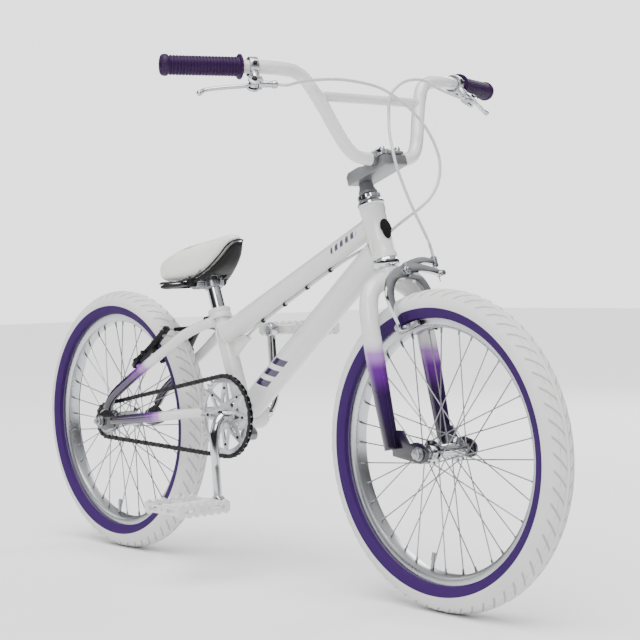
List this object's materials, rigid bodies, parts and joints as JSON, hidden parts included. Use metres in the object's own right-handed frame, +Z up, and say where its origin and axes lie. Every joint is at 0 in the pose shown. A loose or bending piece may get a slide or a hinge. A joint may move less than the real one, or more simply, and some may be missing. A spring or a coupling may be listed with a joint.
{
  "type": "bmx bike",
  "caption": "Small-wheeled freestyle bicycle with raised crossbar handlebar, one-piece crank, caliper front brake and linear-pull rear brake.",
  "frame": {"origin": "on the ground, halfway between the two axles and in the middle plane", "axes": "+X forwards, +Y to the rider's left, +Z up; the drive side is -Y"},
  "size_m": [1.414, 0.7342, 0.8874],
  "materials": {
    "white_paint": "glossy pearl white",
    "faded_paint": "glossy white fading through violet to near black at the dropouts",
    "chrome": "polished",
    "steel": "plain, lightly brushed",
    "alloy": "satin",
    "black_steel": "black oxide",
    "tyre": "off-white rubber with a purple band by the bead",
    "purple_rubber": "matt purple",
    "black_rubber": "matt black brake rubber",
    "white_plastic": "smooth off-white",
    "clear_plastic": "milky, slightly see-through",
    "black_plastic": "grained black",
    "cover": "smooth white synthetic with a violet abstract graphic"
  },
  "bodies": {
    "frame": {"head_and_top_tube": "white_paint", "down_tube": "white_paint", "seat_tube": "white_paint", "right_chainstay": "faded_paint", "left_chainstay": "faded_paint", "right_seatstay": "faded_paint", "left_seatstay": "faded_paint", "headset_upper_cup": "chrome", "headset_lower_cup": "chrome", "seat_collar": "white_paint", "right_bracket_cup": "chrome", "left_bracket_cup": "chrome", "rear_brake_cable": "white_plastic", "rear_axle": "steel", "chain": "black_steel"},
    "steering": {"fork": "faded_paint", "headset_locknut": "chrome", "quill_stem": "alloy", "stem_cap": "chrome", "handlebar": "white_paint", "right_grip": "purple_rubber", "left_grip": "purple_rubber", "right_lever_bracket": "alloy", "left_lever_bracket": "alloy", "front_brake_bolt": "chrome", "front_brake_cable": "white_plastic", "front_axle": "steel"},
    "right_lever": {"right_brake_lever": "alloy"},
    "left_lever": {"left_brake_lever": "alloy"},
    "front_arm_right": {"front_brake_arm_right": "chrome", "front_brake_shoe_right": "black_rubber"},
    "front_arm_left": {"front_brake_arm_left": "chrome", "front_brake_shoe_left": "black_rubber"},
    "rear_arm_right": {"rear_brake_arm_right": "black_steel", "rear_brake_shoe_right": "black_rubber"},
    "rear_arm_left": {"rear_brake_arm_left": "black_steel", "rear_brake_shoe_left": "black_rubber", "rear_brake_noodle": "black_plastic"},
    "front_wheel": {"front_tyre": "tyre", "front_rim": "alloy", "front_spokes_right": "steel", "front_spokes_left": "steel", "front_hub": "chrome"},
    "rear_wheel": {"rear_tyre": "tyre", "rear_rim": "alloy", "rear_spokes_right": "steel", "rear_spokes_left": "steel", "rear_hub": "chrome"},
    "freewheel": {"freewheel_cog": "steel"},
    "crank": {"crank": "chrome", "chainring": "alloy", "right_pedal_spindle": "steel", "left_pedal_spindle": "steel"},
    "right_pedal": {"right_pedal": "clear_plastic"},
    "left_pedal": {"left_pedal": "clear_plastic"},
    "seatpost": {"seatpost": "chrome", "saddle_clamp": "steel"},
    "saddle": {"saddle_rails": "steel", "saddle_cover": "cover", "saddle_base": "black_plastic"}
  },
  "joints": [
    {"name": "steering", "type": "hinge", "parent": "frame", "child": "steering", "pos_m": [0.321, 0, 0.557], "axis": [-0.319, 0, 0.9478], "range_deg": [-75, 75], "deforming": ["rear_brake_cable"]},
    {"name": "front_wheel_spin", "type": "hinge", "parent": "steering", "child": "front_wheel", "pos_m": [0.45, 0, 0.257], "axis": [0, 1, 0], "continuous": true},
    {"name": "rear_wheel_spin", "type": "hinge", "parent": "frame", "child": "rear_wheel", "pos_m": [-0.45, 0, 0.257], "axis": [0, 1, 0], "continuous": true},
    {"name": "crank_spin", "type": "hinge", "parent": "frame", "child": "crank", "pos_m": [-0.062, 0, 0.287], "axis": [0, 1, 0], "continuous": true},
    {"name": "freewheel_spin", "type": "hinge", "parent": "frame", "child": "freewheel", "pos_m": [-0.45, 0, 0.257], "axis": [0, 1, 0], "continuous": true},
    {"name": "right_pedal_spin", "type": "hinge", "parent": "crank", "child": "right_pedal", "pos_m": [-0.05007, -0.074, 0.13547], "axis": [0, 1, 0], "continuous": true},
    {"name": "left_pedal_spin", "type": "hinge", "parent": "crank", "child": "left_pedal", "pos_m": [-0.07393, 0.074, 0.43853], "axis": [0, 1, 0], "continuous": true},
    {"name": "right_lever", "type": "hinge", "parent": "steering", "child": "right_lever", "pos_m": [0.28739, -0.24094, 0.8379], "axis": [-0.5999, 0.2309, -0.766], "range_deg": [0, 20], "stiffness_Nm_per_rad": 0.6},
    {"name": "left_lever", "type": "hinge", "parent": "steering", "child": "left_lever", "pos_m": [0.28739, 0.24094, 0.8379], "axis": [0.5999, 0.2309, 0.766], "range_deg": [0, 20], "stiffness_Nm_per_rad": 0.6},
    {"name": "front_arm_right", "type": "hinge", "parent": "steering", "child": "front_arm_right", "pos_m": [0.36689, 0, 0.5429], "axis": [0.9478, 0, 0.319], "range_deg": [0, 1.15]},
    {"name": "front_arm_left", "type": "hinge", "parent": "steering", "child": "front_arm_left", "pos_m": [0.35931, 0, 0.54035], "axis": [-0.9478, 0, -0.319], "range_deg": [0, 1.15]},
    {"name": "rear_arm_right", "type": "hinge", "parent": "frame", "child": "rear_arm_right", "pos_m": [-0.32544, -0.054, 0.37588], "axis": [-0.6561, 0, 0.7547], "range_deg": [0, 3.05]},
    {"name": "rear_arm_left", "type": "hinge", "parent": "frame", "child": "rear_arm_left", "pos_m": [-0.32544, 0.054, 0.37588], "axis": [0.6561, 0, -0.7547], "range_deg": [0, 3.05]},
    {"name": "seatpost_height", "type": "slide", "parent": "frame", "child": "seatpost", "axis": [-0.3535, 0, 0.9354], "range_m": [-0.035, 0.06]},
    {"name": "saddle_tilt", "type": "hinge", "parent": "seatpost", "child": "saddle", "pos_m": [-0.16949, 0, 0.52947], "axis": [0, 1, 0], "range_deg": [-6, 6]}
  ],
  "couplings": [
    {"joint": "freewheel_spin", "follows": "crank_spin", "ratio": 2.25},
    {"joint": "front_arm_right", "follows": "left_lever", "ratio": 0.055},
    {"joint": "front_arm_left", "follows": "left_lever", "ratio": 0.055},
    {"joint": "rear_arm_right", "follows": "right_lever", "ratio": 0.15},
    {"joint": "rear_arm_left", "follows": "right_lever", "ratio": 0.15}
  ]
}
